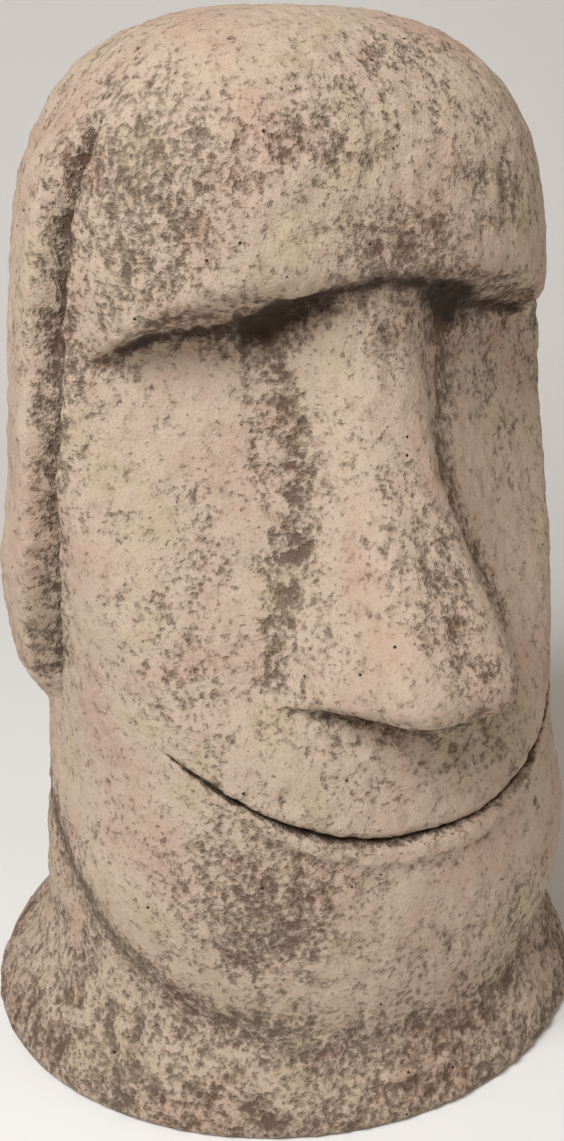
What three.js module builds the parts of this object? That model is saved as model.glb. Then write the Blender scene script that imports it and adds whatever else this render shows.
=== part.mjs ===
// Moai head, a garden statue cast as one block of stone: the head stands on its own flared neck.
// Millimetres, +Z up. The face looks along -Y, and the origin is in the middle of the underside.
import * as THREE from "three";
import { mergeVertices } from "three/addons/utils/BufferGeometryUtils.js";

// Overall sizes
const HEIGHT = 560;
const COLUMNS_PER_SIDE = 36;

// Each profile is a list of [height, value] stations with a smooth line run through them.
// Flared neck, a little broader than deep
const NECK_RADIUS = [
  [0, 175], [8, 174], [25, 166], [45, 152], [65, 144], [85, 143], [110, 140], [150, 133],
  [200, 122], [300, 110],
];
const NECK_FORWARD = [
  [0, 6], [25, 9], [45, 14], [85, 13], [115, 6], [200, 6],
];
const NECK_BROADEN = 1.03;
const NECK_FLATTEN = 0.96;
const NECK_TOP = 235;
const RIM_ROUNDING = 5;

// Head without its features: half width, reach to the front and reach to the back
const HALF_WIDTH = [
  [40, 130], [80, 146], [130, 151], [155, 146], [190, 141], [230, 142], [290, 146], [340, 148],
  [400, 144], [440, 141], [500, 138], [560, 136],
];
const FRONT_REACH = [
  [40, 161], [90, 167], [140, 168], [180, 163], [210, 158], [250, 149], [290, 143], [340, 136],
  [400, 124], [440, 118], [500, 119], [560, 116],
];
const BACK_REACH = [
  [40, 100], [90, 102], [140, 108], [180, 114], [230, 119], [290, 122], [340, 124], [400, 125],
  [440, 124], [560, 120],
];
const PLAN_SQUARENESS = [
  [40, 2.1], [200, 2.15], [280, 2.3], [400, 2.15], [440, 2.4], [560, 2.45],
];
const CROWN_START = 408;
const CROWN_SQUARENESS = 2.85;

// The jaw is rounded underneath, and its lower edge climbs towards the ears
const JAW_START = 92;
const JAW_DEPTH = 105;
const JAW_SQUARENESS = 2.5;
const JAW_CLIMB = 0.62;
const JAW_FORWARD = 150;
const JAW_CREASE = 42;
const JAW_FILLET = 16;

// Brow: its lower edge and the crease behind it, as [side, height] stations, and how far the edge
// hangs out over the cheek. The crease is a thin line over the nose and fades out at the temples.
const BROW_EDGE = [
  [0, 438], [55, 437], [82, 432], [105, 423], [116, 415], [123, 413], [131, 424], [141, 440],
];
const BROW_CREASE = [
  [0, 436], [20, 434], [34, 427], [47, 421], [62, 415], [80, 412], [98, 409], [115, 403],
  [121, 400], [130, 392], [141, 385],
];
const BROW_OVERHANG = [
  [0, 9], [20, 15], [47, 28], [80, 33], [105, 29], [123, 18], [132, 10], [140, 8],
];
const BROW_ROUNDING = 7;
const CREASE_FILLET = 5;

// The flat cheeks slope back from the nose: the reach is where a cheek's plane would meet the
// middle plane.
const CHEEK_SLOPE = 0.5;
const CHEEK_SOFTNESS = 14;
const CHEEK_REACH = [
  [150, 218], [210, 185], [240, 163], [270, 150], [305, 135], [333, 126], [355, 119], [385, 112],
  [412, 108], [440, 107],
];

// Nose: ridge half width, ridge reach, and the line where its sides meet the cheeks
const RIDGE_HALF_WIDTH = [
  [225, 34], [258, 31], [284, 26], [317, 22], [343, 21], [383, 20], [401, 20], [440, 22],
];
const RIDGE_REACH = [
  [225, 205], [258, 195], [284, 178], [317, 153], [343, 133], [383, 115], [401, 109], [440, 108],
];
const ROOT_HALF_WIDTH = [
  [225, 71], [240, 70], [258, 66], [270, 63], [285, 58], [305, 49], [333, 41], [352, 40],
  [385, 44], [412, 48], [440, 46],
];
const ROOT_REACH = [
  [225, 130], [240, 127], [258, 118], [270, 112], [285, 106], [305, 102], [333, 97],
  [352, 89], [385, 81], [412, 74], [440, 70],
];
const NOSE_TOP = 438;
const NOSE_BOTTOM = 239;
const RIDGE_SOFTNESS = 6;

// Mouth: one cut line that rises to both sides, over a rolled lower lip
const MOUTH_HEIGHT = 168;
const MOUTH_RISE = 45;
const MOUTH_HALF_WIDTH = 118;
const MOUTH_DEPTH = 6;
const LIP_HEIGHT = 12;
const LIP_SWELL = 3.6;

// Ears: long flat strips, each with a groove in front of it
const EAR_OUTSIDE = [
  [200, 166], [230, 172], [245, 177], [262, 176], [283, 169], [320, 159], [372, 155],
  [422, 151], [460, 146], [500, 134], [560, 100],
];
const EAR_SLANT = 0.12;
const EAR_GROOVE = [
  [200, 5], [230, 13], [283, 26], [351, 31], [411, 30], [446, 33], [502, 36],
];
const EAR_WIDTH = 50;
const EAR_TOP = 508;
const LOBE_TIP = 205;
const LOBE_SLOPE = 1.12;
const GROOVE_DEPTH = 7;

const { clamp, smoothstep, degToRad } = THREE.MathUtils;

// A smooth line through the stations, level with its end stations beyond them.
function profile(stations) {
  const last = stations.length - 1;
  const slopes = stations.map((station, i) => {
    const before = stations[Math.max(i - 1, 0)];
    const after = stations[Math.min(i + 1, last)];
    return (after[1] - before[1]) / (after[0] - before[0]);
  });
  return (height) => {
    const z = clamp(height, stations[0][0], stations[last][0]);
    let i = 0;
    while (i < last - 1 && z > stations[i + 1][0]) i += 1;
    const span = stations[i + 1][0] - stations[i][0];
    const t = (z - stations[i][0]) / span;
    const t2 = t * t;
    const t3 = t2 * t;
    return (
      (2 * t3 - 3 * t2 + 1) * stations[i][1] +
      (t3 - 2 * t2 + t) * span * slopes[i] +
      (3 * t2 - 2 * t3) * stations[i + 1][1] +
      (t3 - t2) * span * slopes[i + 1]
    );
  };
}

const neckRadius = profile(NECK_RADIUS);
const neckForward = profile(NECK_FORWARD);
const planSquareness = profile(PLAN_SQUARENESS);
const halfWidth = profile(HALF_WIDTH);
const frontReach = profile(FRONT_REACH);
const backReach = profile(BACK_REACH);
const browEdge = profile(BROW_EDGE);
const browCrease = profile(BROW_CREASE);
const browOverhang = profile(BROW_OVERHANG);
const cheekReach = profile(CHEEK_REACH);
const ridgeHalfWidth = profile(RIDGE_HALF_WIDTH);
const ridgeReach = profile(RIDGE_REACH);
const rootHalfWidth = profile(ROOT_HALF_WIDTH);
const rootReach = profile(ROOT_REACH);
const earOutside = profile(EAR_OUTSIDE);
const earGroove = profile(EAR_GROOVE);

// Joins two forms into one (the lower value) with a fillet of the given width between them.
function join(a, b, fillet) {
  const share = clamp(0.5 + (0.5 * (b - a)) / fillet, 0, 1);
  return b + (a - b) * share - fillet * share * (1 - share);
}

// Keeps what two forms have in common (the higher value), with the edge between them rounded.
function trim(a, b, rounding) {
  return -join(-a, -b, rounding);
}

// Length of a vector in a norm that turns squarer as the power grows.
function squareLength(a, b, power) {
  return (Math.abs(a) ** power + Math.abs(b) ** power) ** (1 / power);
}

// The forms below give the distance out of the stone, about in millimetres, at a point given by
// its distance to the side of the middle plane, its reach to the front and its height.
function headMass(side, front, height) {
  const middle = (frontReach(height) - backReach(height)) / 2;
  const halfDepth = (frontReach(height) + backReach(height)) / 2;
  const across = side / halfWidth(height);
  const inPlan = squareLength(across, (front - middle) / halfDepth, planSquareness(height));
  const intoCrown = Math.max(height - CROWN_START, 0) / (HEIGHT - CROWN_START);
  const withCrown = squareLength(inPlan, intoCrown, CROWN_SQUARENESS);
  const jawHeight = height - JAW_CLIMB * (JAW_FORWARD - Math.max(front, -10));
  const intoJaw = Math.max(JAW_START - jawHeight, 0) / JAW_DEPTH;
  return (squareLength(withCrown, intoJaw, JAW_SQUARENESS) - 1) * 135;
}

// The flat cheek on each side of the nose slopes back from it, and the brow hangs over it with a
// slanted underside that rises from the crease to the brow's edge.
function cheek(side, front, height) {
  const offMiddle = Math.hypot(side, CHEEK_SOFTNESS);
  const out = (front + CHEEK_SLOPE * offMiddle - cheekReach(height)) / Math.hypot(1, CHEEK_SLOPE);
  const slant = (browEdge(side) - browCrease(side)) / browOverhang(side);
  const underside = browCrease(side) + slant * clamp(out, 0, 1.3 * browOverhang(side));
  return join(out, (underside - height) / Math.hypot(1, slant), CREASE_FILLET);
}

function nose(side, front, height) {
  const run = rootHalfWidth(height) - ridgeHalfWidth(height);
  const rise = ridgeReach(height) - rootReach(height);
  const offMiddle = Math.hypot(side, RIDGE_SOFTNESS);
  const flank =
    ((offMiddle - ridgeHalfWidth(height)) * rise + (front - ridgeReach(height)) * run) /
    Math.hypot(run, rise);
  let form = trim(flank, front - ridgeReach(height), 14);
  form = trim(form, NOSE_BOTTOM - height, 5 + 19 * smoothstep(front, 130, 175));
  form = trim(form, height - NOSE_TOP, 5);
  form = trim(form, side - rootHalfWidth(height) - 6, 6);
  return trim(form, 60 - front, 4);
}

function mouthLine(side) {
  return MOUTH_HEIGHT + MOUTH_RISE * (Math.min(side, MOUTH_HALF_WIDTH) / MOUTH_HALF_WIDTH) ** 2.5;
}

// How much of the lip's full size is left at a distance from the middle.
function mouthTaper(side) {
  return clamp(1 - (side / MOUTH_HALF_WIDTH) ** 2, 0, 1);
}

function lowerLip(side, height) {
  const halfHeight = (LIP_HEIGHT / 2) * Math.sqrt(Math.max(mouthTaper(side), 0.05));
  const above = height - (mouthLine(side) - halfHeight - 0.5);
  return LIP_SWELL * mouthTaper(side) * Math.exp(-((above / halfHeight) ** 4));
}

function mouthCut(side, height) {
  const depth = MOUTH_DEPTH * clamp(1.3 * Math.sqrt(mouthTaper(side)), 0, 1);
  return depth * Math.exp(-(((height - mouthLine(side)) / 1.8) ** 2));
}

function ear(side, front, height, mass) {
  const fromMiddle = front - earGroove(height) + EAR_WIDTH / 2;
  const outside = earOutside(height) + EAR_SLANT * clamp(fromMiddle, -40, 40);
  let form = trim(side - outside, Math.abs(fromMiddle) - EAR_WIDTH / 2, 15);
  form = trim(form, (LOBE_TIP + (side - 142) * LOBE_SLOPE - height) * 0.6, 9);
  form = trim(form, (height - EAR_TOP) * 0.5, 20);
  form = trim(form, 70 - side, 6);
  return trim(form, mass - 16, 10);
}

function grooveCut(side, front, height) {
  const across = (front - earGroove(height) - 2.5) / 3.2;
  const alongUp = smoothstep(height, LOBE_TIP - 3, LOBE_TIP + 7) * (1 - smoothstep(height, 490, 515));
  return GROOVE_DEPTH * Math.exp(-across * across) * alongUp * smoothstep(side, 90, 105);
}

function neck(side, front, height) {
  const across = Math.hypot(side / NECK_BROADEN, (front - neckForward(height)) / NECK_FLATTEN);
  const round = (across - neckRadius(height)) * 0.93;
  return trim(trim(round, -height, RIM_ROUNDING), height - NECK_TOP, 20);
}

function statue(side, front, height) {
  const mass = headMass(side, front, height);
  let form = trim(mass, cheek(side, front, height), BROW_ROUNDING);
  form = join(form, nose(side, front, height), 9);
  if (front > 0) form += mouthCut(side, height) - lowerLip(side, height);
  form = join(form, ear(side, front, height, form), 7);
  form += grooveCut(side, front, height);
  return join(form, neck(side, front, height), JAW_FILLET);
}

// Lines of the surface that rows of corners follow, from the rim to the crown, each with the
// number of rows up to it. They keep the mouth, brow and nose crisp.
const ROW_LINES = [
  { rows: 0, at: () => 0 },
  { rows: 1, at: () => 3 },
  { rows: 8, at: (side, front) => JAW_CREASE + 0.6 * clamp(160 - front, 0, 150) },
  { rows: 7, at: (side) => mouthLine(side) - 2 - LIP_HEIGHT * Math.sqrt(mouthTaper(side)) },
  { rows: 3, at: (side) => mouthLine(side) - 1.7 },
  { rows: 1, at: (side) => mouthLine(side) },
  { rows: 1, at: (side) => mouthLine(side) + 1.9 + 3 * (1 - mouthTaper(side)) },
  { rows: 5, at: () => NOSE_BOTTOM - 5 },
  { rows: 5, at: () => NOSE_BOTTOM + 16 },
  { rows: 13, at: (side) => browCrease(side) - 2 },
  { rows: 5, at: (side) => browEdge(side) + 2 },
];
const CROWN_ROWS = 16;

function rowHeights() {
  const rows = [ROW_LINES[0].at];
  for (let line = 1; line < ROW_LINES.length; line += 1) {
    const below = ROW_LINES[line - 1].at;
    const { rows: count, at: above } = ROW_LINES[line];
    for (let row = 1; row <= count; row += 1) {
      const share = row / count;
      rows.push((side, front) => below(side, front) * (1 - share) + above(side, front) * share);
    }
  }
  const browLine = ROW_LINES[ROW_LINES.length - 1].at;
  for (let row = 1; row < CROWN_ROWS; row += 1) {
    const share = Math.sin((row / CROWN_ROWS) * (Math.PI / 2));
    rows.push((side) => browLine(side) + (HEIGHT - browLine(side)) * share);
  }
  return rows;
}

// Upright lines that columns of corners follow, from the middle of the face to the middle of the
// back: nose ridge, nose root, the groove's two edges and its bottom, and the ear's back edge.
const COLUMN_LINES = [
  { columns: 0, at: () => 0 },
  { columns: 3, at: () => degToRad(9.5) },
  { columns: 6, at: () => degToRad(29) },
  { columns: 11, at: (height) => Math.atan2(halfWidth(height) - 3, earGroove(height) + 8) },
  { columns: 1, at: (height) => Math.atan2(halfWidth(height) - 3, earGroove(height) + 2.5) },
  { columns: 1, at: (height) => Math.atan2(halfWidth(height) - 3, earGroove(height) - 3) },
  { columns: 5, at: (height) => Math.atan2(halfWidth(height), earGroove(height) - EAR_WIDTH + 6) },
  { columns: 2, at: (height) => Math.atan2(halfWidth(height), earGroove(height) - EAR_WIDTH - 6) },
  { columns: 7, at: () => Math.PI },
];

// Turn from straight ahead, in radians, of a column on one side at a height.
function columnTurn(column, height) {
  let left = column;
  for (let line = 1; line < COLUMN_LINES.length; line += 1) {
    const { columns, at } = COLUMN_LINES[line];
    if (left <= columns) {
      const share = left / columns;
      return COLUMN_LINES[line - 1].at(height) * (1 - share) + at(height) * share;
    }
    left -= columns;
  }
  return Math.PI;
}

// The corner of the surface on a column and a row, found by closing in on it along a level line
// from the outside to the axis.
function surfaceCorner(column, rowHeight) {
  const pointAt = (reach) => {
    let turn = columnTurn(Math.abs(column), rowHeight(reach, 0));
    let height = 0;
    for (let pass = 0; pass < 3; pass += 1) {
      height = rowHeight(reach * Math.sin(turn), reach * Math.cos(turn));
      turn = columnTurn(Math.abs(column), height);
    }
    return { side: reach * Math.sin(turn), front: reach * Math.cos(turn), height };
  };
  const isOutside = (reach) => {
    const { side, front, height } = pointAt(reach);
    return statue(side, front, height) > 0;
  };
  let outer = 260;
  while (outer > 4 && isOutside(outer - 4)) outer -= 4;
  let inner = outer - 4;
  for (let pass = 0; pass < 18; pass += 1) {
    const middle = (inner + outer) / 2;
    if (isOutside(middle)) outer = middle;
    else inner = middle;
  }
  const { side, front, height } = pointAt(outer);
  return new THREE.Vector3(Math.sign(column) * side, -front, height);
}

function statueGeometry() {
  const rows = rowHeights();
  const blank = new THREE.SphereGeometry(1, 2 * COLUMNS_PER_SIDE, rows.length + 1);
  const corners = blank.attributes.position;
  const perRow = 2 * COLUMNS_PER_SIDE + 1;
  for (let index = 0; index < corners.count; index += 1) {
    const row = rows.length - Math.floor(index / perRow);
    const column = (index % perRow) - COLUMNS_PER_SIDE;
    const corner = new THREE.Vector3();
    if (row === rows.length) corner.set(0, 0, HEIGHT);
    else if (row >= 0) corner.copy(surfaceCorner(column, rows[row]));
    corners.setXYZ(index, corner.x, corner.y, corner.z);
  }
  blank.deleteAttribute("normal");
  blank.deleteAttribute("uv");
  const closed = mergeVertices(blank, 1e-3);
  closed.computeVertexNormals();
  return closed;
}

const castStone = new THREE.MeshStandardMaterial({
  color: "#a8927b",
  roughness: 0.9,
  metalness: 0,
  flatShading: true,
});

const head = new THREE.Mesh(statueGeometry(), castStone);
head.name = "moai_head";

const moai = new THREE.Group();
moai.add(head);

export default moai;
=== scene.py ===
"""Moai head: a garden statue cast as one block of stone, dressed for rendering.

The stone is one closed skin, modelled from the same named sizes as the solid it stands for, and
then given the finer relief of the casting: chisel marks, pits, air holes and chipped edges. Forms
are worked out in millimetres and stored in metres. +Z is up and the face looks along -Y.
"""

import logging
import math
from dataclasses import dataclass, field
from typing import Callable, Sequence

import bmesh
import bpy
import numpy as np
from mathutils import Euler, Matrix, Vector, noise

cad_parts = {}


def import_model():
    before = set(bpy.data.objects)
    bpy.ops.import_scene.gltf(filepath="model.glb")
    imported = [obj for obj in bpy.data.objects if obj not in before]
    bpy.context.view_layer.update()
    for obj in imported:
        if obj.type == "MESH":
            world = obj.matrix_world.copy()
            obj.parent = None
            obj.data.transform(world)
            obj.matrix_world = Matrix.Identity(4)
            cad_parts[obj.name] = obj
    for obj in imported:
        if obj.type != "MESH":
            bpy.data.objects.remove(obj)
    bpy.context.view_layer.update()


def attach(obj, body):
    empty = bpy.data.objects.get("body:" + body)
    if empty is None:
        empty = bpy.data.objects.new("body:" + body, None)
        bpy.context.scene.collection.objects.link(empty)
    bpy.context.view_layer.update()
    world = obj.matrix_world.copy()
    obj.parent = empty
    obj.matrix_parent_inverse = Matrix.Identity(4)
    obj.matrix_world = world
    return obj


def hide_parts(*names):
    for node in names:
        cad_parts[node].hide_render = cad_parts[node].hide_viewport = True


LOG = logging.getLogger("moai")
MM = 0.001

Stations = Sequence[tuple[float, float]]
Array = np.ndarray


def linear_colour(code: str) -> tuple[float, float, float, float]:
    """Turn an sRGB hex colour into the linear values that a shader takes.

    Args:
        code: The colour as six hex digits with a leading hash.

    Returns:
        Red, green, blue and an alpha of one.
    """
    channels = [int(code[start:start + 2], 16) / 255 for start in (1, 3, 5)]
    red, green, blue = (
        value / 12.92 if value <= 0.04045 else ((value + 0.055) / 1.055) ** 2.4
        for value in channels
    )
    return red, green, blue, 1.0


def profile(stations: Stations) -> Callable[[Array], Array]:
    """Run a smooth line through stations, level with its end stations beyond them.

    Args:
        stations: Pairs of height and value, lowest first.

    Returns:
        A function from heights to values.
    """
    table = np.array(stations, float)
    heights, values = table[:, 0], table[:, 1]
    slopes = np.empty_like(values)
    slopes[1:-1] = (values[2:] - values[:-2]) / (heights[2:] - heights[:-2])
    slopes[0] = (values[1] - values[0]) / (heights[1] - heights[0])
    slopes[-1] = (values[-1] - values[-2]) / (heights[-1] - heights[-2])

    def value_at(height: Array) -> Array:
        """Give the line's value at each height."""
        z = np.clip(height, heights[0], heights[-1])
        i = np.clip(np.searchsorted(heights, z, side="right") - 1, 0, len(heights) - 2)
        span = heights[i + 1] - heights[i]
        t = (z - heights[i]) / span
        t2, t3 = t * t, t * t * t
        return (
            (2 * t3 - 3 * t2 + 1) * values[i]
            + (t3 - 2 * t2 + t) * span * slopes[i]
            + (3 * t2 - 2 * t3) * values[i + 1]
            + (t3 - t2) * span * slopes[i + 1]
        )

    return value_at


def join(a: Array, b: Array, fillet: float | Array) -> Array:
    """Join two forms into one, the lower value, with a fillet between them.

    Args:
        a: Distance out of the first form.
        b: Distance out of the second form.
        fillet: Width of the fillet in millimetres.

    Returns:
        Distance out of the joined form.
    """
    share = np.clip(0.5 + 0.5 * (b - a) / fillet, 0, 1)
    return b + (a - b) * share - fillet * share * (1 - share)


def trim(a: Array, b: Array, rounding: float | Array) -> Array:
    """Keep what two forms have in common, with the edge between them rounded.

    Args:
        a: Distance out of the first form.
        b: Distance out of the second form.
        rounding: Width of the rounding in millimetres.

    Returns:
        Distance out of what is left.
    """
    return -join(-a, -b, rounding)


def ease(value: Array, low: float, high: float) -> Array:
    """Rise smoothly from 0 at low to 1 at high.

    Args:
        value: What the rise follows.
        low: Where it starts.
        high: Where it ends.

    Returns:
        The rise at each value.
    """
    t = np.clip((value - low) / (high - low), 0, 1)
    return t * t * (3 - 2 * t)


def bump_of(value: Array, middle: Array | float, half_width: float) -> Array:
    """Give a soft bump, 1 in the middle and near 0 two half widths away.

    Args:
        value: What the bump follows.
        middle: Where it is highest.
        half_width: Distance at which it has fallen to about a third.

    Returns:
        The bump's height at each value.
    """
    return np.exp(-(((value - middle) / half_width) ** 2))


@dataclass(frozen=True)
class HeadForm:
    """The head without its features, and the neck that carries it, in millimetres."""

    height: float = 560
    half_width: Stations = (
        (40, 130), (80, 146), (130, 151), (155, 146), (190, 141), (230, 142), (290, 146),
        (340, 148), (400, 144), (440, 141), (500, 138), (560, 136),
    )
    front_reach: Stations = (
        (40, 161), (90, 167), (140, 168), (180, 163), (210, 158), (250, 149), (290, 143),
        (340, 136), (400, 124), (440, 118), (500, 119), (560, 116),
    )
    back_reach: Stations = (
        (40, 100), (90, 102), (140, 108), (180, 114), (230, 119), (290, 122), (340, 124),
        (400, 125), (440, 124), (560, 120),
    )
    plan_squareness: Stations = (
        (40, 2.1), (200, 2.15), (280, 2.3), (400, 2.15), (440, 2.4), (560, 2.45),
    )
    crown_start: float = 408
    crown_squareness: float = 2.85
    jaw_start: float = 92
    jaw_depth: float = 105
    jaw_squareness: float = 2.5
    jaw_climb: float = 0.62
    jaw_forward: float = 150
    jaw_crease: float = 42
    jaw_fillet: float = 16
    neck_radius: Stations = (
        (0, 175), (8, 174), (25, 166), (45, 152), (65, 144), (85, 143), (110, 140),
        (150, 133), (200, 122), (300, 110),
    )
    neck_forward: Stations = (
        (0, 6), (25, 9), (45, 14), (85, 13), (115, 6), (200, 6),
    )
    neck_broaden: float = 1.03
    neck_flatten: float = 0.96
    neck_top: float = 235
    rim_rounding: float = 5

    def mass(self, side: Array, front: Array, height: Array) -> Array:
        """Give the distance out of the bare head.

        Args:
            side: Distance from the middle plane.
            front: Reach towards the front.
            height: Height over the underside.

        Returns:
            Distance out of the form, about in millimetres.
        """
        ahead = profile(self.front_reach)(height)
        behind = profile(self.back_reach)(height)
        power = profile(self.plan_squareness)(height)
        across = np.abs(side / profile(self.half_width)(height))
        along = np.abs((front - (ahead - behind) / 2) / ((ahead + behind) / 2))
        plan = (across**power + along**power) ** (1 / power)
        crown = np.maximum(height - self.crown_start, 0) / (self.height - self.crown_start)
        with_crown = (plan**self.crown_squareness + crown**self.crown_squareness) ** (
            1 / self.crown_squareness
        )
        under = height - self.jaw_climb * (self.jaw_forward - np.maximum(front, -10))
        jaw = np.maximum(self.jaw_start - under, 0) / self.jaw_depth
        whole = (with_crown**self.jaw_squareness + jaw**self.jaw_squareness) ** (
            1 / self.jaw_squareness
        )
        return (whole - 1) * 135

    def neck(self, side: Array, front: Array, height: Array) -> Array:
        """Give the distance out of the flared neck.

        Args:
            side: Distance from the middle plane.
            front: Reach towards the front.
            height: Height over the underside.

        Returns:
            Distance out of the form, about in millimetres.
        """
        ahead = front - profile(self.neck_forward)(height)
        across = np.hypot(side / self.neck_broaden, ahead / self.neck_flatten)
        rounded = (across - profile(self.neck_radius)(height)) * 0.93
        return trim(trim(rounded, -height, self.rim_rounding), height - self.neck_top, 20)

    def jaw_line(self, side: Array, front: Array) -> Array:
        """Give the height of the crease between the jaw and the neck."""
        return self.jaw_crease + 0.6 * np.clip(160 - front, 0, 150)


@dataclass(frozen=True)
class BrowForm:
    """The brow's overhanging edge and the flat cheeks that lie back under it.

    The edge, the crease behind it and the overhang are stations of side and value.
    """

    edge: Stations = (
        (0, 438), (55, 437), (82, 432), (105, 423), (116, 415), (123, 413), (131, 424),
        (141, 440),
    )
    crease: Stations = (
        (0, 436), (20, 434), (34, 427), (47, 421), (62, 415), (80, 412), (98, 409),
        (115, 403), (121, 400), (130, 392), (141, 385),
    )
    overhang: Stations = (
        (0, 9), (20, 15), (47, 28), (80, 33), (105, 29), (123, 18), (132, 10), (140, 8),
    )
    rounding: float = 7
    crease_fillet: float = 5
    cheek_slope: float = 0.5
    cheek_softness: float = 14
    cheek_reach: Stations = (
        (150, 218), (210, 185), (240, 163), (270, 150), (305, 135), (333, 126), (355, 119),
        (385, 112), (412, 108), (440, 107),
    )

    def out_of_cheek(self, side: Array, front: Array, height: Array) -> Array:
        """Give how far points lie out of the cheek's plane.

        Args:
            side: Distance from the middle plane.
            front: Reach towards the front.
            height: Height over the underside.

        Returns:
            Distance out of the plane in millimetres.
        """
        off_middle = np.hypot(side, self.cheek_softness)
        reach = profile(self.cheek_reach)(height)
        return (front + self.cheek_slope * off_middle - reach) / math.hypot(1, self.cheek_slope)

    def cheek(self, side: Array, front: Array, height: Array) -> Array:
        """Give the distance out of the cheek and of the brow's slanted underside.

        Args:
            side: Distance from the middle plane.
            front: Reach towards the front.
            height: Height over the underside.

        Returns:
            Distance out of the form in millimetres.
        """
        out = self.out_of_cheek(side, front, height)
        low, hang = profile(self.crease)(side), profile(self.overhang)(side)
        slant = (profile(self.edge)(side) - low) / hang
        underside = low + slant * np.clip(out, 0, 1.3 * hang)
        return join(out, (underside - height) / np.hypot(1, slant), self.crease_fillet)


@dataclass(frozen=True)
class NoseForm:
    """The long wedge of the nose: its ridge, and the line where its sides meet the cheeks."""

    ridge_half_width: Stations = (
        (225, 34), (258, 31), (284, 26), (317, 22), (343, 21), (383, 20), (401, 20), (440, 22),
    )
    ridge_reach: Stations = (
        (225, 205), (258, 195), (284, 178), (317, 153), (343, 133), (383, 115), (401, 109),
        (440, 108),
    )
    root_half_width: Stations = (
        (225, 71), (240, 70), (258, 66), (270, 63), (285, 58), (305, 49), (333, 41),
        (352, 40), (385, 44), (412, 48), (440, 46),
    )
    root_reach: Stations = (
        (225, 130), (240, 127), (258, 118), (270, 112), (285, 106), (305, 102), (333, 97),
        (352, 89), (385, 81), (412, 74), (440, 70),
    )
    top: float = 438
    bottom: float = 239
    ridge_softness: float = 6

    def form(self, side: Array, front: Array, height: Array) -> Array:
        """Give the distance out of the nose.

        Args:
            side: Distance from the middle plane.
            front: Reach towards the front.
            height: Height over the underside.

        Returns:
            Distance out of the form in millimetres.
        """
        narrow, wide = profile(self.ridge_half_width)(height), profile(self.root_half_width)(height)
        near, far = profile(self.ridge_reach)(height), profile(self.root_reach)(height)
        run, rise = wide - narrow, near - far
        off_middle = np.hypot(side, self.ridge_softness)
        flank = ((off_middle - narrow) * rise + (front - near) * run) / np.hypot(run, rise)
        form = trim(flank, front - near, 14)
        form = trim(form, self.bottom - height, 5 + 19 * ease(front, 130, 175))
        form = trim(form, height - self.top, 5)
        form = trim(form, side - wide - 6, 6)
        return trim(form, 60 - front, 4)


@dataclass(frozen=True)
class MouthForm:
    """One cut line that rises to both sides, over a rolled lower lip."""

    height: float = 168
    rise: float = 45
    half_width: float = 118
    depth: float = 6
    lip_height: float = 12
    lip_swell: float = 3.6

    def line(self, side: Array) -> Array:
        """Give the height of the cut."""
        return self.height + self.rise * (np.minimum(side, self.half_width) / self.half_width) ** 2.5

    def taper(self, side: Array) -> Array:
        """Give how much of the lip's full size is left at a distance from the middle."""
        return np.clip(1 - (side / self.half_width) ** 2, 0, 1)

    def lip(self, side: Array, height: Array) -> Array:
        """Give how far the lower lip stands out.

        Args:
            side: Distance from the middle plane.
            height: Height over the underside.

        Returns:
            Distance in millimetres.
        """
        half_height = self.lip_height / 2 * np.sqrt(np.maximum(self.taper(side), 0.05))
        above = height - (self.line(side) - half_height - 0.5)
        return self.lip_swell * self.taper(side) * np.exp(-((above / half_height) ** 4))

    def cut(self, side: Array, height: Array) -> Array:
        """Give how deep the cut goes in."""
        depth = self.depth * np.clip(1.3 * np.sqrt(self.taper(side)), 0, 1)
        return depth * bump_of(height, self.line(side), 1.8)


@dataclass(frozen=True)
class EarForm:
    """Long flat strips down the sides of the head, each with a groove in front of it."""

    outside: Stations = (
        (200, 166), (230, 172), (245, 177), (262, 176), (283, 169), (320, 159), (372, 155),
        (422, 151), (460, 146), (500, 134), (560, 100),
    )
    slant: float = 0.12
    groove: Stations = (
        (200, 5), (230, 13), (283, 26), (351, 31), (411, 30), (446, 33), (502, 36),
    )
    width: float = 50
    top: float = 508
    lobe_tip: float = 205
    lobe_slope: float = 1.12
    groove_depth: float = 7

    def form(self, side: Array, front: Array, height: Array, mass: Array) -> Array:
        """Give the distance out of the ear.

        Args:
            side: Distance from the middle plane.
            front: Reach towards the front.
            height: Height over the underside.
            mass: Distance out of the head that the ear lies on.

        Returns:
            Distance out of the form, about in millimetres.
        """
        from_middle = front - profile(self.groove)(height) + self.width / 2
        outside = profile(self.outside)(height) + self.slant * np.clip(from_middle, -40, 40)
        form = trim(side - outside, np.abs(from_middle) - self.width / 2, 15)
        tip = self.lobe_tip + (side - 142) * self.lobe_slope
        form = trim(form, (tip - height) * 0.6, 9)
        form = trim(form, (height - self.top) * 0.5, 20)
        form = trim(form, 70 - side, 6)
        return trim(form, mass - 16, 10)

    def cut(self, side: Array, front: Array, height: Array) -> Array:
        """Give how deep the groove in front of the ear goes in.

        Args:
            side: Distance from the middle plane.
            front: Reach towards the front.
            height: Height over the underside.

        Returns:
            Depth in millimetres.
        """
        across = bump_of(front, profile(self.groove)(height) + 2.5, 3.2)
        along = ease(height, self.lobe_tip - 3, self.lobe_tip + 7) * (1 - ease(height, 490, 515))
        return self.groove_depth * across * along * ease(side, 90, 105)


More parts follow.
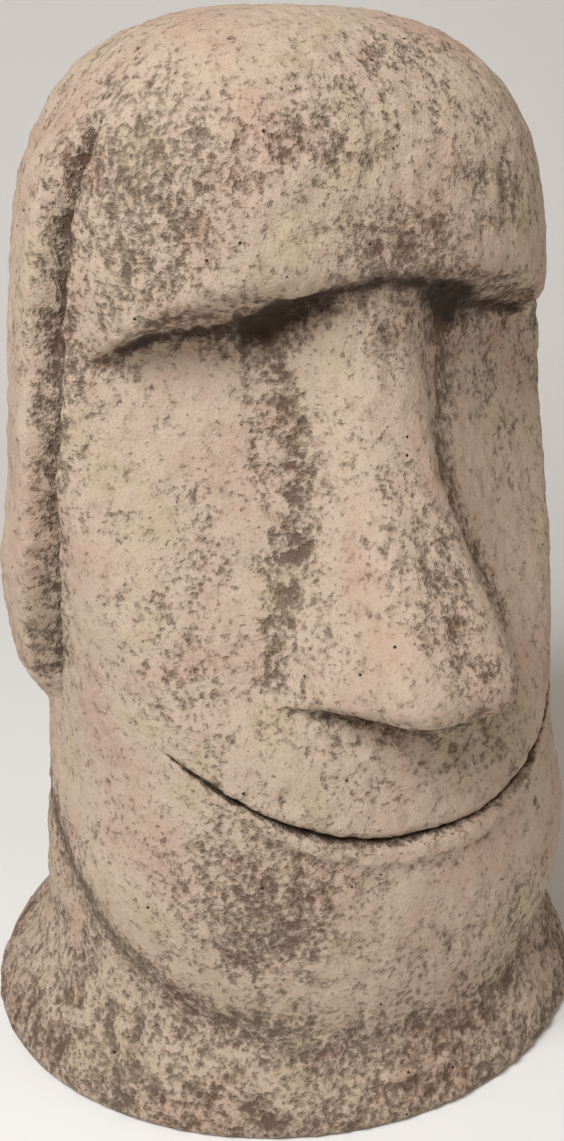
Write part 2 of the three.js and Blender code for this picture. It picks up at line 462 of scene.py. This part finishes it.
@dataclass
class Statue:
    """The whole stone: its forms and the grid of corners laid over them."""

    name: str = "moai_stone"
    head: HeadForm = field(default_factory=HeadForm)
    brow: BrowForm = field(default_factory=BrowForm)
    nose: NoseForm = field(default_factory=NoseForm)
    mouth: MouthForm = field(default_factory=MouthForm)
    ear: EarForm = field(default_factory=EarForm)
    row_density: int = 4
    column_density: int = 5

    def depth_out(self, side: Array, front: Array, height: Array) -> Array:
        """Give the distance out of the stone.

        Args:
            side: Distance from the middle plane.
            front: Reach towards the front.
            height: Height over the underside.

        Returns:
            Distance out of the stone, about in millimetres.
        """
        mass = self.head.mass(side, front, height)
        form = trim(mass, self.brow.cheek(side, front, height), self.brow.rounding)
        form = join(form, self.nose.form(side, front, height), 9)
        face = self.mouth.cut(side, height) - self.mouth.lip(side, height)
        form = form + np.where(front > 0, face, 0)
        form = join(form, self.ear.form(side, front, height, form), 7)
        form = form + self.ear.cut(side, front, height)
        return join(form, self.head.neck(side, front, height), self.head.jaw_fillet)

    def row_lines(self) -> list[tuple[int, Callable[[Array, Array], Array]]]:
        """List the lines that rows of corners follow, each with the rows up to it.

        Returns:
            For each line, its rows before they are made denser, and its height at a side and front.
        """
        mouth, brow, nose = self.mouth, self.brow, self.nose
        return [
            (0, lambda side, front: 0 * side),
            (1, lambda side, front: 0 * side + 3),
            (8, lambda side, front: self.head.jaw_line(side, front)),
            (7, lambda side, front: mouth.line(side) - 2
             - mouth.lip_height * np.sqrt(mouth.taper(side))),
            (3, lambda side, front: mouth.line(side) - 1.7),
            (1, lambda side, front: mouth.line(side)),
            (1, lambda side, front: mouth.line(side) + 1.9 + 3 * (1 - mouth.taper(side))),
            (5, lambda side, front: 0 * side + nose.bottom - 5),
            (5, lambda side, front: 0 * side + nose.bottom + 16),
            (13, lambda side, front: profile(brow.crease)(side) - 2),
            (5, lambda side, front: profile(brow.edge)(side) + 2),
        ]

    def row_shares(self) -> list[tuple[int, float]]:
        """List each row as the line under it and its share of the way to the next line.

        Returns:
            Rows from the rim up to the brow line, then those of the crown, whose line is the last.
        """
        lines = self.row_lines()
        rows = [(0, 0.0)]
        for index in range(1, len(lines)):
            count = lines[index][0] * self.row_density
            rows += [(index - 1, step / count) for step in range(1, count + 1)]
        crown = 14 * self.row_density
        last = len(lines) - 1
        rows += [(last, math.sin(step / crown * math.pi / 2)) for step in range(1, crown)]
        return rows

    def row_height(self, rows: list[tuple[int, float]], side: Array, front: Array) -> Array:
        """Give the height of every row at points on it.

        Args:
            rows: The rows, one for each line of the points.
            side: Distance from the middle plane, a row of values for each row.
            front: Reach towards the front, laid out in the same way.

        Returns:
            Heights, laid out in the same way.
        """
        lines = [line(side, front) for _, line in self.row_lines()]
        lines.append(np.full_like(side, self.head.height))
        under = np.array([index for index, _ in rows])
        share = np.array([part for _, part in rows])[:, None]
        stack = np.stack(lines)
        at = np.arange(len(rows))
        return stack[under, at] * (1 - share) + stack[under + 1, at] * share

    def column_turns(self, height: Array) -> Array:
        """Give the turn from straight ahead of each column on one side.

        Args:
            height: Heights, a row of values for each row of corners.

        Returns:
            Turns in radians, laid out in the same way.
        """
        half, groove = profile(self.head.half_width), profile(self.ear.groove)
        lines: list[tuple[int, Callable[[Array], Array]]] = [
            (0, lambda z: 0 * z),
            (3, lambda z: 0 * z + math.radians(9.5)),
            (6, lambda z: 0 * z + math.radians(29)),
            (11, lambda z: np.arctan2(half(z) - 3, groove(z) + 8)),
            (1, lambda z: np.arctan2(half(z) - 3, groove(z) + 2.5)),
            (1, lambda z: np.arctan2(half(z) - 3, groove(z) - 3)),
            (5, lambda z: np.arctan2(half(z), groove(z) - self.ear.width + 6)),
            (2, lambda z: np.arctan2(half(z), groove(z) - self.ear.width - 6)),
            (7, lambda z: 0 * z + math.pi),
        ]
        turns = np.zeros_like(height)
        column = 0
        for index in range(1, len(lines)):
            count, line = lines[index][0] * self.column_density, lines[index][1]
            for step in range(1, count + 1):
                column += 1
                z = height[:, column]
                share = step / count
                turns[:, column] = lines[index - 1][1](z) * (1 - share) + line(z) * share
        return turns

    def half_skin(self) -> Array:
        """Close in on the stone along level lines, from outside to the axis, on one side.

        Returns:
            Corners by row and column, each as side, front and height.
        """
        rows = self.row_shares()
        columns = 36 * self.column_density + 1
        shape = (len(rows), columns)

        def points(reach: Array) -> tuple[Array, Array, Array]:
            """Give the points at a reach from the axis on every row and column.

            Args:
                reach: Level distance from the axis, by row and column.

            Returns:
                Side, front and height of each point, laid out in the same way.
            """
            height = self.row_height(rows, reach, 0 * reach)
            turn = self.column_turns(height)
            for _ in range(3):
                height = self.row_height(rows, reach * np.sin(turn), reach * np.cos(turn))
                turn = self.column_turns(height)
            return reach * np.sin(turn), reach * np.cos(turn), height

        outer = np.full(shape, 212.0)
        moving = np.ones(shape, bool)
        while moving.any():
            outside = self.depth_out(*points(outer - 4)) > 0
            moving &= outside & (outer > 8)
            outer = np.where(moving, outer - 4, outer)
        inner = outer - 4
        for _ in range(11):
            middle = (inner + outer) / 2
            outside = self.depth_out(*points(middle)) > 0
            outer = np.where(outside, middle, outer)
            inner = np.where(outside, inner, middle)
        return np.stack(points(outer), axis=-1)

    def skin(self) -> bpy.types.Object:
        """Build the stone's closed skin.

        Returns:
            The finished piece, linked to the scene.
        """
        half = self.half_skin()
        rows, side_columns = half.shape[0], half.shape[1] - 1
        around = 2 * side_columns
        work = bmesh.new()
        bmesh.ops.create_uvsphere(work, u_segments=around, v_segments=rows + 1, radius=1)
        for corner in work.verts:
            level = round((0.5 + math.asin(max(-1, min(1, corner.co.z))) / math.pi) * (rows + 1))
            if level <= 0:
                corner.co = Vector((0, 0, 0))
                continue
            if level >= rows + 1:
                corner.co = Vector((0, 0, self.head.height * MM))
                continue
            turn = math.atan2(corner.co.x, -corner.co.y)
            column = round(turn / math.pi * side_columns)
            side, front, height = half[level - 1, abs(column)]
            side = -side if column < 0 else side
            corner.co = Vector((side, -front, height)) * MM
        bmesh.ops.recalc_face_normals(work, faces=work.faces)
        mesh = bpy.data.meshes.new(self.name)
        work.to_mesh(mesh)
        work.free()
        mesh.polygons.foreach_set("use_smooth", [True] * len(mesh.polygons))
        piece = bpy.data.objects.new(self.name, mesh)
        bpy.context.scene.collection.objects.link(piece)
        return piece


@dataclass(frozen=True)
class Relief:
    """The stone's finer relief, in millimetres: what the mould and the chisel left on it."""

    swell: float = 0.9
    swell_length: float = 70
    wave: float = 0.75
    wave_length: float = 21
    rough: float = 0.75
    rough_length: float = 8
    pit_spacing: float = 12
    pit_radius: float = 3.1
    pit_depth: float = 1.8
    ledge_height: float = 1.0
    chip_depth: float = 1.1

    def pit(self, place: Vector, share: float) -> float:
        """Give how deep the pits go at a point.

        Args:
            place: The point in millimetres.
            share: Share of the possible pits that are there, from 0 to 1.

        Returns:
            Depth in millimetres.
        """
        wander = noise.noise_vector(place / 6) * 1.1
        reaches, centres = noise.voronoi((place + wander) / self.pit_spacing)
        draw = noise.cell(centres[0] * 37.7) * 0.5 + 0.5
        if draw > share:
            return 0.0
        radius = self.pit_radius * (0.55 + 0.45 * (draw / max(share, 0.01)))
        inward = 1 - (reaches[0] * self.pit_spacing / radius) ** 2
        return self.pit_depth * max(inward, 0.0) ** 1.3

    def offset(self, place: Vector, pits: float, ledges: float, chips: float, rough: float) -> float:
        """Give how far the surface moves out at a point.

        Args:
            place: The point in millimetres.
            pits: Share of the pits that are there.
            ledges: How strong the fine level ledges are, from 0 to 1.
            chips: How chipped the surface is, from 0 to 1.
            rough: How much rougher than the smooth stone it is, from 0 to 1.

        Returns:
            Offset in millimetres, negative into the stone.
        """
        out = self.swell * noise.fractal(place / self.swell_length, 1.0, 2.0, 2)
        out += self.wave * noise.noise(place / self.wave_length)
        grain = noise.fractal(place / self.rough_length, 0.8, 2.1, 2)
        out += self.rough * (1 + 1.6 * rough) * grain
        if ledges > 0.02:
            level = Vector((place.x / 30, place.y / 12, place.z / 3.6))
            out += ledges * self.ledge_height * (noise.noise(level) - 0.25)
        if chips > 0.02:
            out -= chips * self.chip_depth * max(noise.noise(place / 5.5) + 0.1, 0.0) * 2
        return out - self.pit(place, pits)


@dataclass(frozen=True)
class WashAndShade:
    """Where painted shade and wash darken the stone: in every crease, and in loose patches on the
    open stone.
    """

    # Painted shade along the root of the nose, where its sides meet the cheeks.
    nose_root_shade: float = 0.62
    # Patches of wash and painted shade, as across, height, width, height span and amount.
    wash_and_shade_patches: Sequence[tuple[float, float, float, float, float]] = (
        (8, 456, 44, 22, 0.6), (-104, 482, 40, 56, 0.6), (-40, 505, 50, 34, 0.42),
        (60, 490, 60, 40, 0.28), (0, 300, 24, 62, 0.5), (16, 226, 58, 14, 0.6),
        (30, 205, 60, 24, 0.34), (-88, 140, 44, 54, 0.6), (20, 105, 70, 30, 0.3),
        (-52, 372, 16, 40, 0.45), (6, 415, 24, 24, 0.5), (40, 385, 20, 50, 0.4),
        (-100, 250, 34, 40, 0.3),
    )

    def shade_and_wash_in_creases(self, form: Statue, side: Array, front: Array, height: Array) -> Array:
        """Give how deep in a crease each point lies, which sets the painted shade and wash there.

        Args:
            form: The statue.
            side: Distance from the middle plane.
            front: Reach towards the front.
            height: Height over the underside.

        Returns:
            Depth in a crease, from 0 on open stone to 1.
        """
        # Painted shade with some wash in the creases: the ear's groove, the brow's underside and
        # hollow, the jaw crease, the mouth's cut, and under the nose and the lower lip.
        ahead = ease(front, 20, 45)
        groove = 0.85 * bump_of(front, profile(form.ear.groove)(height) + 2.5, 2.6)
        groove = groove * ease(height, 200, 214) * (1 - ease(height, 486, 512)) * ease(side, 90, 110)
        # Painted shade under the brow's overhang, darkest in the hollow beside the nose.
        low, high = profile(form.brow.crease)(side), profile(form.brow.edge)(side)
        out = form.brow.out_of_cheek(side, front, height)
        under = ease(height, low - 9, low + 1) * (1 - ease(height, high - 7, high + 2))
        hollow = bump_of(side, 46, 30) * bump_of(height, low + 2, 17) * (1 - ease(out, 12, 30))
        line = bump_of(height, low + 1, 5) * (1 - ease(side, 112, 124))
        brow = np.maximum.reduce(
            [0.42 * under * (1 - ease(side, 112, 126)), 0.9 * line, 1.3 * hollow]
        )
        brow = brow * ahead
        # Painted shade along the crease under the jaw.
        jaw = bump_of(height, form.head.jaw_line(side, front) + 1, 13)
        jaw = jaw * (0.2 + 0.25 * (1 - ease(front, 60, 150)))
        cut = bump_of(height, form.mouth.line(side), 1.9) * ahead
        cut = cut * (1 - ease(side, form.mouth.half_width - 4, form.mouth.half_width + 6))
        # Painted shadow under the nose.
        under_nose = bump_of(height, form.nose.bottom - 1, 7) * (1 - ease(side, 62, 76))
        under_nose = under_nose * ease(front, 120, 140) * 0.55
        # Painted shadow under the lower lip.
        lip = form.mouth.line(side) - 3 - form.mouth.lip_height * np.sqrt(form.mouth.taper(side))
        under_lip = 0.34 * bump_of(height, lip, 3) * ahead * form.mouth.taper(side) ** 0.3
        made = [groove, brow, jaw, cut, under_nose, under_lip]
        return np.clip(np.maximum.reduce(made), 0, 1)

    def wash_and_shade_zones(self, form: Statue, across: Array, front: Array, height: Array) -> Array:
        """Give how much wash and painted shade the open stone holds.

        Args:
            form: The statue.
            across: Position to the right of the middle plane, negative to the left.
            front: Reach towards the front.
            height: Height over the underside.

        Returns:
            Share of the stone that the wash and painted shade cover, from 0 to 1.
        """
        side = np.abs(across)
        # Painted shade along the root of the nose.
        root = profile(form.nose.root_half_width)(height)
        band = bump_of(side, root + 1, 9)
        band = band * ease(height, 236, 262) * (1 - ease(height, 415, 440)) * ease(front, 40, 70)
        made = [self.nose_root_shade * band]
        # Stains of wash, and painted shade under the nose, down its front and along its root and
        # bridge.
        for x, z, wide, tall, amount in self.wash_and_shade_patches:
            spot = np.exp(-(((across - x) / wide) ** 2) - ((height - z) / tall) ** 2)
            made.append(amount * spot * ease(front, -10, 40))
        # Wash and painted shade in front of the ear's groove.
        beside_groove = bump_of(front, profile(form.ear.groove)(height) + 8, 12)
        made.append(0.4 * beside_groove * ease(side, 90, 110) * ease(height, 215, 240))
        # Darker towards the bottom, and a little darker all over.
        made.append(0.3 * (1 - ease(height, 60, 110)) + 0.2 * (1 - ease(height, 8, 40)))
        made.append(0.08 + 0 * front)
        # Painted shade along the crease under the jaw.
        made.append(0.48 * bump_of(height, form.head.jaw_line(side, front), 26))
        # Darker towards the back.
        made.append(0.3 * (1 - ease(front, -60, 20)))
        return np.clip(np.maximum.reduce(made), 0, 1)


@dataclass(frozen=True)
class Finish:
    """Works the relief into the stone's skin and marks where the wash and painted shade lie."""

    relief: Relief = field(default_factory=Relief)
    wash_and_shade: WashAndShade = field(default_factory=WashAndShade)

    def work(self, form: Statue, piece: bpy.types.Object) -> None:
        """Move the skin's corners and store the wash and painted shade on them.

        Args:
            form: The statue.
            piece: Its skin.
        """
        mesh = piece.data
        count = len(mesh.vertices)
        spots = np.empty(count * 3)
        mesh.vertices.foreach_get("co", spots)
        spots = spots.reshape(-1, 3) / MM
        normals = np.empty(count * 3)
        mesh.vertices.foreach_get("normal", normals)
        normals = normals.reshape(-1, 3)
        across, front, height = spots[:, 0], -spots[:, 1], spots[:, 2]
        side = np.abs(across)
        shade_and_wash_in_creases = self.wash_and_shade.shade_and_wash_in_creases(form, side, front, height)
        wash_and_shade_zones = self.wash_and_shade.wash_and_shade_zones(form, across, front, height)
        low = profile(form.brow.crease)(side)
        ledges = ease(height, low - 6, low) * (1 - ease(height, low + 16, low + 26))
        ledges = ledges * ease(front, 40, 60) * (1 - ease(side, 116, 128)) * ease(side, 24, 40)
        groove = bump_of(front, profile(form.ear.groove)(height) + 2, 6) * ease(side, 100, 120)
        chips = np.clip(groove + 0.8 * ledges, 0, 1)
        rough = np.clip(wash_and_shade_zones * 1.3 + 0.4 * (1 - ease(height, 60, 130)), 0, 1)
        still = np.minimum(ease(height, 0.5, 6), 1)
        offsets = np.array([
            self.relief.offset(Vector(spots[i]), 0.16 + 0.75 * wash_and_shade_zones[i], ledges[i], chips[i],
                               rough[i])
            for i in range(count)
        ]) * still
        spots = spots + normals * offsets[:, None]
        spots[:, 2] = np.clip(spots[:, 2], 0, None)
        mesh.vertices.foreach_set("co", (spots * MM).ravel())
        mesh.update()
        sunk = np.clip(-offsets / 1.4, 0, 1)
        for name, values in (("crease", shade_and_wash_in_creases), ("wash_and_shade", wash_and_shade_zones), ("sunk", sunk)):
            attribute = mesh.attributes.new(name, "FLOAT", "POINT")
            attribute.data.foreach_set("value", values.astype(np.float32))


def add_node(
    tree: bpy.types.NodeTree,
    kind: str,
    settings: dict[str, object] | None = None,
    inputs: dict[str | int, object] | None = None,
) -> bpy.types.Node:
    """Add a node with its settings and links.

    Args:
        tree: The node tree that it joins.
        kind: Blender's name for the kind of node.
        settings: Attributes of the node.
        inputs: Values for its sockets, or the sockets that feed them.

    Returns:
        The new node.
    """
    node = tree.nodes.new(kind)
    for key, value in (settings or {}).items():
        setattr(node, key, value)
    for key, value in (inputs or {}).items():
        socket = node.inputs[key]
        if isinstance(value, bpy.types.NodeSocket):
            tree.links.new(value, socket)
        else:
            socket.default_value = value
    return node


@dataclass(frozen=True)
class CastStone:
    """Cast stone: sand and cement poured in a mould, then rubbed with a thin dark wash.

    The cement skin is matt and sandy. The wash was wiped off the open stone and stays as brown
    grey specks in the pits. The solid dark lines in the creases and some darker patches are
    painted shade mixed with wash.
    """

    name: str = "cast_stone_patina_and_painted_shade"
    sand: str = "#bcaa98"
    rose: str = "#b8a08f"
    ochre: str = "#b6a68c"
    wash_brown: str = "#5e4838"
    wash_grey: str = "#66564b"
    shade: str = "#8f7762"
    dust: str = "#7a6553"
    # A darker tone for stains and for painted shade in the zones.
    stain_and_painted_shade: str = "#846c59"
    # Painted shade in the creases and air holes, with some wash.
    dark_shade_and_wash: str = "#30261f"
    roughness: float = 0.88
    patch_mm: float = 48
    mottle_mm: float = 7.5
    speck_mm: float = 3.1
    grain_mm: float = 1.3
    hole_spacing_mm: float = 15

    def blots(
        self, tree: bpy.types.NodeTree, place: bpy.types.NodeSocket, size: float, detail: float,
        roughness: float = 0.55,
    ) -> bpy.types.NodeSocket:
        """Add a noise whose blots have a real size.

        Args:
            tree: The material's node tree.
            place: Object coordinates.
            size: Width of a blot in millimetres.
            detail: Number of finer layers.
            roughness: How strong the finer layers are.

        Returns:
            The noise's value.
        """
        made = add_node(tree, "ShaderNodeTexNoise", {}, {
            "Vector": place, "Scale": 1 / (size * MM), "Detail": detail, "Roughness": roughness,
        })
        return made.outputs["Fac"]

    def mix(
        self, tree: bpy.types.NodeTree, share: bpy.types.NodeSocket | float,
        low: object, high: object,
    ) -> bpy.types.NodeSocket:
        """Mix two colours.

        Args:
            tree: The material's node tree.
            share: Share of the second colour.
            low: The colour at a share of 0.
            high: The colour at a share of 1.

        Returns:
            The mixed colour.
        """
        made = add_node(tree, "ShaderNodeMix", {"data_type": "RGBA"}, {0: share, 6: low, 7: high})
        return made.outputs[2]

    def work_out(
        self, tree: bpy.types.NodeTree, operation: str, first: object, second: object,
        clamp: bool = False,
    ) -> bpy.types.NodeSocket:
        """Work out one sum.

        Args:
            tree: The material's node tree.
            operation: Blender's name for the sum.
            first: Its first number or socket.
            second: Its second number or socket.
            clamp: Whether the result is kept between 0 and 1.

        Returns:
            The sum's result.
        """
        made = add_node(
            tree, "ShaderNodeMath", {"operation": operation, "use_clamp": clamp},
            {0: first, 1: second},
        )
        return made.outputs[0]

    def step(
        self, tree: bpy.types.NodeTree, value: bpy.types.NodeSocket, low: float, high: float,
        top: float = 1.0,
    ) -> bpy.types.NodeSocket:
        """Rise smoothly from 0 to top.

        Args:
            tree: The material's node tree.
            value: The value that drives the rise.
            low: Value at which it starts.
            high: Value at which it is over.
            top: Result at high and past it.

        Returns:
            The risen value.
        """
        made = add_node(tree, "ShaderNodeMapRange", {"interpolation_type": "SMOOTHSTEP"}, {
            "Value": value, "From Min": low, "From Max": high, "To Min": 0.0, "To Max": top,
        })
        return made.outputs["Result"]

    def material(self) -> bpy.types.Material:
        """Build the material.

        Returns:
            The finished material.
        """
        material = bpy.data.materials.new(self.name)
        material.use_nodes = True
        tree = material.node_tree
        tree.nodes.clear()
        place = add_node(tree, "ShaderNodeTexCoord").outputs["Object"]
        crease, wash_and_shade, sunk = (
            add_node(tree, "ShaderNodeAttribute", {"attribute_name": name}).outputs["Fac"]
            for name in ("crease", "wash_and_shade", "sunk")
        )
        patch = self.blots(tree, place, self.patch_mm, 3)
        mottle = self.blots(tree, place, self.mottle_mm, 4, 0.6)
        speck = self.blots(tree, place, self.speck_mm, 3, 0.6)
        grain = self.blots(tree, place, self.grain_mm, 2, 0.6)
        colour = self.mix(tree, self.step(tree, patch, 0.46, 0.66), linear_colour(self.sand),
                          linear_colour(self.rose))
        colour = self.mix(tree, self.step(tree, patch, 0.46, 0.34, 0.6), colour,
                          linear_colour(self.ochre))
        colour = self.mix(tree, self.step(tree, mottle, 0.48, 0.72, 0.4), colour,
                          linear_colour(self.shade))
        colour = self.mix(tree, self.step(tree, grain, 0.42, 0.7, 0.22), colour,
                          linear_colour(self.dust))
        # Specks of wash: the more wash and painted shade a zone holds, and the deeper a crease, the
        # lower the level at which a speck shows, so specks also darken the painted shade.
        level = self.work_out(tree, "MULTIPLY", wash_and_shade, 0.3)
        blot = self.work_out(tree, "MULTIPLY", mottle, 0.3)
        amount = self.work_out(tree, "MULTIPLY_ADD", speck, 0.7)
        tree.links.new(blot, amount.node.inputs[2])
        amount = self.work_out(tree, "ADD", amount, level)
        amount = self.work_out(tree, "ADD", amount, self.work_out(tree, "MULTIPLY", sunk, 0.16))
        amount = self.work_out(tree, "ADD", amount, self.work_out(tree, "MULTIPLY", crease, 0.22))
        # A darker tone where the zones hold wash: stains, and painted shade where they hold shade.
        stain_and_painted_shade = self.work_out(tree, "MULTIPLY", wash_and_shade, self.step(tree, mottle, 0.2, 0.8), True)
        colour = self.mix(tree, self.work_out(tree, "MULTIPLY", stain_and_painted_shade, 0.55), colour,
                          linear_colour(self.stain_and_painted_shade))
        specks = self.step(tree, amount, 0.57, 0.86, 0.95)
        tint = self.mix(tree, self.step(tree, patch, 0.4, 0.6), linear_colour(self.wash_grey),
                        linear_colour(self.wash_brown))
        colour = self.mix(tree, specks, colour, tint)
        # Painted shade with some wash in the creases: the darkest colour goes where a crease is
        # deepest, broken up by the mottle.
        crease_shade_and_wash = self.work_out(tree, "MULTIPLY_ADD", self.work_out(tree, "SUBTRACT", mottle, 0.5), 0.9)
        tree.links.new(crease, crease_shade_and_wash.node.inputs[2])
        colour = self.mix(tree, self.step(tree, crease_shade_and_wash, 0.35, 1.05, 0.85), colour,
                          linear_colour(self.dark_shade_and_wash))
        # Air holes about 1.5 mm wide, one in every few centimetres of stone, painted dark as the
        # shade inside them.
        cells = add_node(tree, "ShaderNodeTexVoronoi", {}, {
            "Vector": place, "Scale": 1 / (self.hole_spacing_mm * MM),
        })
        draw = add_node(tree, "ShaderNodeSeparateColor", {}, {0: cells.outputs["Color"]})
        open_hole = self.work_out(tree, "LESS_THAN", draw.outputs[0], 0.36)
        near = self.step(tree, cells.outputs["Distance"], 0.06, 0.03)
        hole = self.work_out(tree, "MULTIPLY", near, open_hole)
        colour = self.mix(tree, hole, colour, linear_colour(self.dark_shade_and_wash))
        # The surface: sandy grain, shallow pits in the specks, and the holes.
        height = self.work_out(tree, "MULTIPLY_ADD", mottle, 0.45)
        tree.links.new(self.work_out(tree, "MULTIPLY", grain, 0.16), height.node.inputs[2])
        height = self.work_out(tree, "SUBTRACT", height, self.work_out(tree, "MULTIPLY", specks, 0.6))
        height = self.work_out(tree, "SUBTRACT", height, self.work_out(tree, "MULTIPLY", hole, 1.2))
        bump = add_node(tree, "ShaderNodeBump", {}, {
            "Strength": 1.0, "Distance": 3.0 * MM, "Height": height,
        })
        shader = add_node(tree, "ShaderNodeBsdfPrincipled", {}, {
            "Base Color": colour, "Roughness": self.roughness, "Normal": bump.outputs[0],
            "IOR": 1.5, "Specular IOR Level": 0.3,
        })
        add_node(tree, "ShaderNodeOutputMaterial", {}, {"Surface": shader.outputs[0]})
        return material


@dataclass(frozen=True)
class Studio:
    """Plain pale floor, soft lights and the camera."""

    floor_colour: str = "#eef0f1"
    target_turn: float = 27.0
    distance: float = 781.69
    eye_height: float = 545.39
    pitch: float = 20.36
    lens: float = 45.43

    def floor(self) -> bpy.types.Object:
        """Lay the floor and run it up behind the statue as one curved sheet."""
        work = bmesh.new()
        bmesh.ops.create_grid(work, x_segments=120, y_segments=120, size=6)
        turn = math.radians(self.target_turn)
        for corner in work.verts:
            behind = corner.co.x * math.sin(turn) + corner.co.y * math.cos(turn)
            corner.co.z = 2.2 * float(ease(np.array(behind), 0.8, 3.0)) ** 1.5
        mesh = bpy.data.meshes.new("studio_floor")
        work.to_mesh(mesh)
        work.free()
        piece = bpy.data.objects.new("studio_floor", mesh)
        bpy.context.scene.collection.objects.link(piece)
        material = bpy.data.materials.new("matt_paper")
        material.use_nodes = True
        shader = material.node_tree.nodes["Principled BSDF"]
        shader.inputs["Base Color"].default_value = linear_colour(self.floor_colour)
        shader.inputs["Roughness"].default_value = 0.9
        mesh.materials.append(material)
        mesh.polygons.foreach_set("use_smooth", [True] * len(mesh.polygons))
        return piece

    def light(self, name: str, turn: float, rise: float, power: float, size: float) -> None:
        """Hang a soft square light that faces the statue.

        Args:
            name: The light's name.
            turn: Degrees round from straight ahead, towards the statue's left.
            rise: Degrees over the floor.
            power: Watts.
            size: Side of the square in metres.
        """
        data = bpy.data.lights.new(name, "AREA")
        data.energy = power
        data.size = size
        lamp = bpy.data.objects.new(name, data)
        bpy.context.scene.collection.objects.link(lamp)
        a, e = math.radians(turn), math.radians(rise)
        reach = 2.2
        away = Vector((math.sin(a) * math.cos(e), -math.cos(a) * math.cos(e), math.sin(e))) * reach
        lamp.location = away + Vector((0, 0, 0.3))
        lamp.rotation_euler = (-away).to_track_quat("-Z", "Y").to_euler()

    def camera(self) -> None:
        """Set the camera up at its viewing angle."""
        data = bpy.data.cameras.new("camera")
        data.sensor_fit = "VERTICAL"
        data.sensor_height = 36
        data.lens = self.lens
        eye = bpy.data.objects.new("camera", data)
        bpy.context.scene.collection.objects.link(eye)
        turn = math.radians(self.target_turn)
        eye.location = Vector(
            (-self.distance * math.sin(turn), -self.distance * math.cos(turn), self.eye_height)
        ) * MM
        eye.rotation_euler = Euler((math.radians(90 - self.pitch), 0, -turn), "XYZ")
        bpy.context.scene.camera = eye

    def build(self) -> None:
        """Put the floor, lights, sky and camera in place."""
        self.floor()
        self.light("key_light", -58, 47, 52, 1.0)
        self.light("fill_light", 40, 20, 7, 1.4)
        world = bpy.data.worlds.new("studio")
        world.use_nodes = True
        backdrop = world.node_tree.nodes["Background"]
        backdrop.inputs["Color"].default_value = linear_colour("#e6cfb6")
        backdrop.inputs["Strength"].default_value = 0.3
        bpy.context.scene.world = world
        bpy.context.scene.view_settings.view_transform = "Standard"
        self.camera()


def main() -> None:
    """Build the statue and its studio in order."""
    logging.basicConfig(level=logging.INFO, format="%(message)s")
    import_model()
    statue = Statue()
    stone = statue.skin()
    Finish().work(statue, stone)
    stone.data.materials.append(CastStone().material())
    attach(stone, "root")
    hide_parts("moai_head")
    LOG.info("%s: %d faces", stone.name, len(stone.data.polygons))
    Studio().build()
    LOG.info("studio: floor, lights and camera")


if __name__ == "__main__":
    main()
